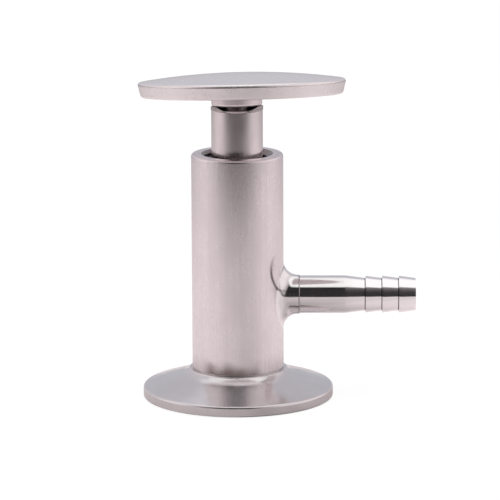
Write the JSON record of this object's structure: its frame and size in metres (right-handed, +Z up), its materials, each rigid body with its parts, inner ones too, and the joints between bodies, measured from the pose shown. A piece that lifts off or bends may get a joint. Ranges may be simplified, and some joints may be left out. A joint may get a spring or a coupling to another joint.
{
  "type": "sanitary ferrule sampling valve",
  "caption": "Screw-down sampling valve on a clamp ferrule, with a barbed side outlet and a domed disc handle that turns to lift a flush plug.",
  "frame": {"origin": "centre of the ferrule's gasket face, on the valve's axis", "axes": "+Z up the valve's axis from the gasket face to the handle, +X along the outlet and its hose tail"},
  "size_m": [0.0732, 0.0543, 0.0878],
  "materials": {
    "polished_steel": "polished stainless steel",
    "mirror_steel": "mirror-polished stainless steel",
    "satin_steel": "satin stainless steel",
    "turned_steel": "fine-turned stainless steel",
    "weld_steel": "dressed weld",
    "seal_rubber": "matte",
    "white_slide_plastic": "matte"
  },
  "bodies": {
    "valve_body": {"clamp_ferrule": "polished_steel", "ferrule_weld": "weld_steel", "body_barrel": "satin_steel", "outlet_hose_tail": "mirror_steel", "outlet_weld": "mirror_steel"},
    "plug": {"plug_holder": "turned_steel", "thrust_washer": "white_slide_plastic", "seal_washer": "seal_rubber", "nose_plug": "polished_steel"},
    "spindle_and_handle": {"spindle": "turned_steel", "lower_o_ring": "seal_rubber", "upper_o_ring": "seal_rubber", "guide_ring": "white_slide_plastic", "swivel_pins": "turned_steel", "handle_stud": "turned_steel", "stem_weld": "weld_steel", "handle_boss": "turned_steel", "handle_weld": "weld_steel", "handle_disc": "satin_steel"}
  },
  "joints": [
    {"name": "plug_lift", "type": "slide", "parent": "valve_body", "child": "plug", "axis": [0, 0, 1], "range_m": [0, 0.006]},
    {"name": "handle_turn", "type": "hinge", "parent": "plug", "child": "spindle_and_handle", "pos_m": [0, 0, 0.0145], "axis": [0, 0, 1], "range_deg": [0, 1080]}
  ],
  "couplings": [
    {"joint": "plug_lift", "follows": "handle_turn", "m_per_rad": 0.0003183}
  ]
}
